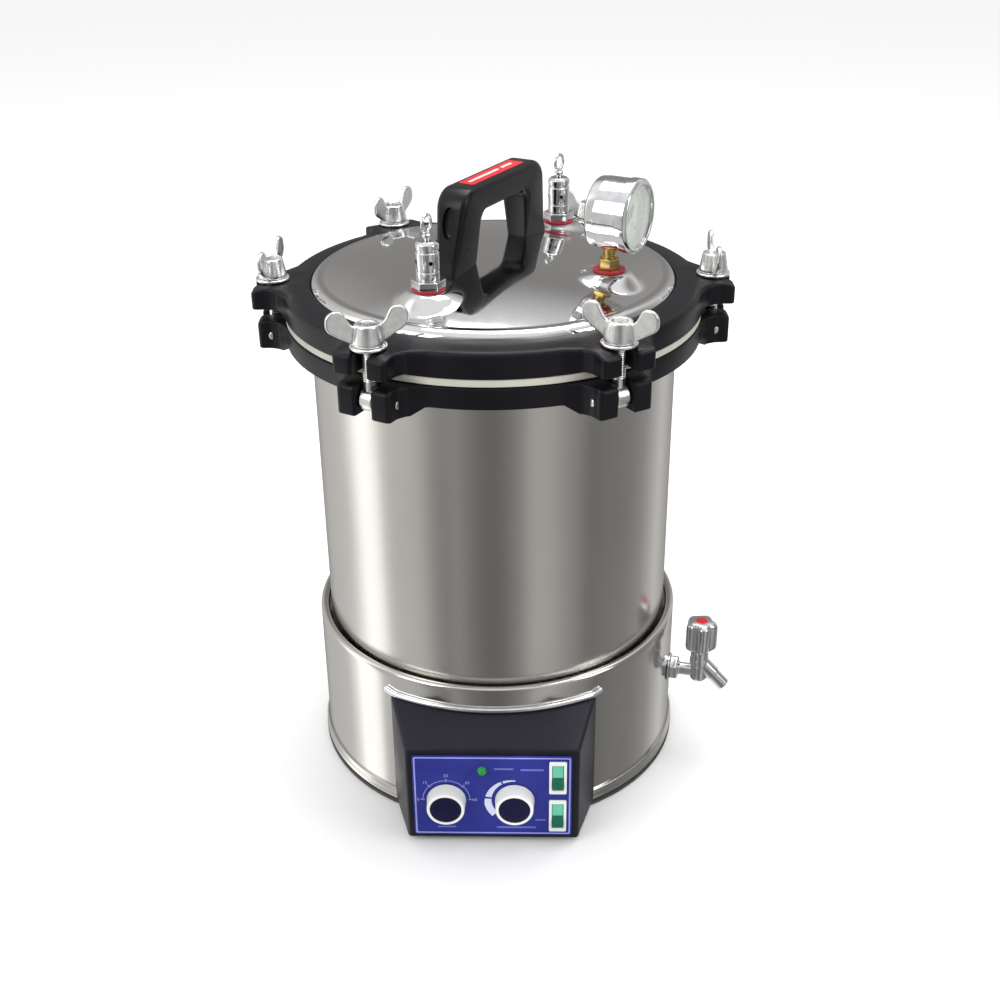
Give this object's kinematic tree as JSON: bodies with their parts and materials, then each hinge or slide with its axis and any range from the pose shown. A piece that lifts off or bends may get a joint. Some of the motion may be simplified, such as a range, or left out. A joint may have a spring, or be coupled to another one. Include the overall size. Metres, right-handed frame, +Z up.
{
  "type": "benchtop autoclave",
  "caption": "Portable steam steriliser: a steel pot in an electric base, closed by a domed lid with hinged wing-nut clamps, valves, a gauge and a drain tap.",
  "frame": {"origin": "on the pot's axis, on the surface that the base stands on", "axes": "+Z up along the pot's axis; the control box faces -Y, and the drain tap is on the +X side"},
  "size_m": [0.3844, 0.3663, 0.5],
  "materials": {
    "stainless": "polished stainless sheet",
    "lid_steel": "mirror polished",
    "ring_black": "satin black enamel",
    "box_black": "semi-matt navy black",
    "zinc": "bright zinc plate",
    "valve_chrome": "chrome plate",
    "tap_chrome": "satin chrome",
    "brass": "turned brass",
    "seal_cream": "silicone",
    "seal_red": "silicone",
    "handle_black": "moulded bakelite",
    "foot_rubber": "rubber",
    "panel_blue": "printed panel",
    "knob_white": "moulded",
    "knob_navy": "moulded",
    "switch_white": "moulded",
    "rocker_green": "translucent",
    "lamp_green": "translucent",
    "unit_grey": "moulded",
    "heater_steel": "heat darkened",
    "dial_face": "printed",
    "needle_black": "matt",
    "glass": "clear",
    "spring_steel": "wire",
    "spindle_black": "moulded"
  },
  "bodies": {
    "base": {"base_shell": "stainless", "base_plate": "stainless", "foot_ring": "foot_rubber", "heater": "heater_steel", "cable_gland": "spindle_black", "control_box": "box_black", "front_panel": "panel_blue", "panel_lamp": "lamp_green", "timer_unit": "unit_grey", "thermostat_unit": "unit_grey", "switch_frames": "switch_white", "tap_nut": "tap_chrome", "tap_body": "tap_chrome", "drain_pipe": "stainless", "pot": "stainless", "pot_ring": "ring_black", "lid_gasket": "seal_cream", "hinge_pins": "zinc", "basket": "stainless", "trivet": "stainless"},
    "lid": {"lid": "lid_steel", "lid_ring": "ring_black", "handle": "handle_black", "fitting_gaskets": "seal_red", "safety_body": "valve_chrome", "safety_spring": "spring_steel", "release_body": "valve_chrome", "release_spring": "spring_steel", "gauge_fitting": "brass", "gauge_case": "valve_chrome", "gauge_dial": "dial_face", "gauge_glass": "glass"},
    "bolt_1": {"eye_bolt_1": "zinc"},
    "washer_1": {"washer_1": "zinc"},
    "nut_1": {"wing_nut_1": "zinc"},
    "bolt_2": {"eye_bolt_2": "zinc"},
    "washer_2": {"washer_2": "zinc"},
    "nut_2": {"wing_nut_2": "zinc"},
    "bolt_3": {"eye_bolt_3": "zinc"},
    "washer_3": {"washer_3": "zinc"},
    "nut_3": {"wing_nut_3": "zinc"},
    "bolt_4": {"eye_bolt_4": "zinc"},
    "washer_4": {"washer_4": "zinc"},
    "nut_4": {"wing_nut_4": "zinc"},
    "bolt_5": {"eye_bolt_5": "zinc"},
    "washer_5": {"washer_5": "zinc"},
    "nut_5": {"wing_nut_5": "zinc"},
    "bolt_6": {"eye_bolt_6": "zinc"},
    "washer_6": {"washer_6": "zinc"},
    "nut_6": {"wing_nut_6": "zinc"},
    "timer_dial": {"timer_knob": "knob_white", "timer_cap": "knob_navy"},
    "temp_dial": {"temp_knob": "knob_white", "temp_cap": "knob_navy"},
    "upper_switch": {"rocker_upper": "rocker_green"},
    "lower_switch": {"rocker_lower": "rocker_green"},
    "tap_handle": {"tap_knob": "tap_chrome"},
    "safety_pull": {"safety_stem": "valve_chrome"},
    "release_pull": {"release_stem": "valve_chrome"},
    "needle": {"gauge_needle": "needle_black"}
  },
  "joints": [
    {"name": "lid_lift", "type": "slide", "parent": "base", "child": "lid", "axis": [0, 0, 1], "range_m": [0, 0.01]},
    {"name": "bolt_swing_1", "type": "hinge", "parent": "base", "child": "bolt_1", "pos_m": [0.17041, 0.00565, 0.372], "axis": [-0.0332, 0.9995, 0], "range_deg": [0, 150]},
    {"name": "washer_slide_1", "type": "slide", "parent": "bolt_1", "child": "washer_1", "axis": [0, 0, 1], "range_m": [0, 0.01]},
    {"name": "nut_spin_1", "type": "hinge", "parent": "washer_1", "child": "nut_1", "pos_m": [0.17041, 0.00565, 0.4125], "axis": [0, 0, 1], "range_deg": [0, 360]},
    {"name": "bolt_swing_2", "type": "hinge", "parent": "base", "child": "bolt_2", "pos_m": [0.08031, 0.1504, 0.372], "axis": [-0.8821, 0.471, 0], "range_deg": [0, 150]},
    {"name": "washer_slide_2", "type": "slide", "parent": "bolt_2", "child": "washer_2", "axis": [0, 0, 1], "range_m": [0, 0.01]},
    {"name": "nut_spin_2", "type": "hinge", "parent": "washer_2", "child": "nut_2", "pos_m": [0.08031, 0.1504, 0.4125], "axis": [0, 0, 1], "range_deg": [0, 360]},
    {"name": "bolt_swing_3", "type": "hinge", "parent": "base", "child": "bolt_3", "pos_m": [-0.0901, 0.14475, 0.372], "axis": [-0.849, -0.5284, 0], "range_deg": [0, 150]},
    {"name": "washer_slide_3", "type": "slide", "parent": "bolt_3", "child": "washer_3", "axis": [0, 0, 1], "range_m": [0, 0.01]},
    {"name": "nut_spin_3", "type": "hinge", "parent": "washer_3", "child": "nut_3", "pos_m": [-0.0901, 0.14475, 0.4125], "axis": [0, 0, 1], "range_deg": [0, 360]},
    {"name": "bolt_swing_4", "type": "hinge", "parent": "base", "child": "bolt_4", "pos_m": [-0.17041, -0.00565, 0.372], "axis": [0.0332, -0.9995, 0], "range_deg": [0, 150]},
    {"name": "washer_slide_4", "type": "slide", "parent": "bolt_4", "child": "washer_4", "axis": [0, 0, 1], "range_m": [0, 0.01]},
    {"name": "nut_spin_4", "type": "hinge", "parent": "washer_4", "child": "nut_4", "pos_m": [-0.17041, -0.00565, 0.4125], "axis": [0, 0, 1], "range_deg": [0, 360]},
    {"name": "bolt_swing_5", "type": "hinge", "parent": "base", "child": "bolt_5", "pos_m": [-0.08031, -0.1504, 0.372], "axis": [0.8821, -0.471, 0], "range_deg": [0, 150]},
    {"name": "washer_slide_5", "type": "slide", "parent": "bolt_5", "child": "washer_5", "axis": [0, 0, 1], "range_m": [0, 0.01]},
    {"name": "nut_spin_5", "type": "hinge", "parent": "washer_5", "child": "nut_5", "pos_m": [-0.08031, -0.1504, 0.4125], "axis": [0, 0, 1], "range_deg": [0, 360]},
    {"name": "bolt_swing_6", "type": "hinge", "parent": "base", "child": "bolt_6", "pos_m": [0.0901, -0.14475, 0.372], "axis": [0.849, 0.5284, 0], "range_deg": [0, 150]},
    {"name": "washer_slide_6", "type": "slide", "parent": "bolt_6", "child": "washer_6", "axis": [0, 0, 1], "range_m": [0, 0.01]},
    {"name": "nut_spin_6", "type": "hinge", "parent": "washer_6", "child": "nut_6", "pos_m": [0.0901, -0.14475, 0.4125], "axis": [0, 0, 1], "range_deg": [0, 360]},
    {"name": "timer_turn", "type": "hinge", "parent": "base", "child": "timer_dial", "pos_m": [-0.036, -0.1795, 0.044], "axis": [0, 1, 0], "range_deg": [0, 270]},
    {"name": "temperature_turn", "type": "hinge", "parent": "base", "child": "temp_dial", "pos_m": [0.0174, -0.1795, 0.044], "axis": [0, 1, 0], "range_deg": [0, 270]},
    {"name": "upper_switch_rock", "type": "hinge", "parent": "base", "child": "upper_switch", "pos_m": [0.051, -0.1765, 0.0665], "axis": [1, 0, 0], "range_deg": [0, 18]},
    {"name": "lower_switch_rock", "type": "hinge", "parent": "base", "child": "lower_switch", "pos_m": [0.051, -0.1765, 0.0293], "axis": [1, 0, 0], "range_deg": [0, 18]},
    {"name": "tap_turn", "type": "hinge", "parent": "base", "child": "tap_handle", "pos_m": [0.17344, -0.04004, 0.095], "axis": [0, 0, 1], "range_deg": [0, 180]},
    {"name": "safety_valve_pull", "type": "slide", "parent": "lid", "child": "safety_pull", "axis": [0, 0, 1], "range_m": [0, 0.003], "stiffness_N_per_m": 1500, "springref_m": -0.002, "deforming": ["safety_spring"]},
    {"name": "release_valve_pull", "type": "slide", "parent": "lid", "child": "release_pull", "axis": [0, 0, 1], "range_m": [0, 0.003], "stiffness_N_per_m": 1500, "springref_m": -0.002, "deforming": ["release_spring"]},
    {"name": "needle_turn", "type": "hinge", "parent": "lid", "child": "needle", "pos_m": [0.08705, -0.04609, 0.473], "axis": [-0.8838, 0.4679, 0], "range_deg": [0, 270], "stiffness_Nm_per_rad": 0.002, "springref_deg": -11.46}
  ],
  "couplings": [
    {"joint": "bolt_swing_1", "follows": "lid_lift", "rad_per_m": 261.8},
    {"joint": "washer_slide_1", "follows": "lid_lift", "ratio": 1},
    {"joint": "bolt_swing_2", "follows": "lid_lift", "rad_per_m": 261.8},
    {"joint": "washer_slide_2", "follows": "lid_lift", "ratio": 1},
    {"joint": "bolt_swing_3", "follows": "lid_lift", "rad_per_m": 261.8},
    {"joint": "washer_slide_3", "follows": "lid_lift", "ratio": 1},
    {"joint": "bolt_swing_4", "follows": "lid_lift", "rad_per_m": 261.8},
    {"joint": "washer_slide_4", "follows": "lid_lift", "ratio": 1},
    {"joint": "bolt_swing_5", "follows": "lid_lift", "rad_per_m": 261.8},
    {"joint": "washer_slide_5", "follows": "lid_lift", "ratio": 1},
    {"joint": "bolt_swing_6", "follows": "lid_lift", "rad_per_m": 261.8},
    {"joint": "washer_slide_6", "follows": "lid_lift", "ratio": 1}
  ]
}
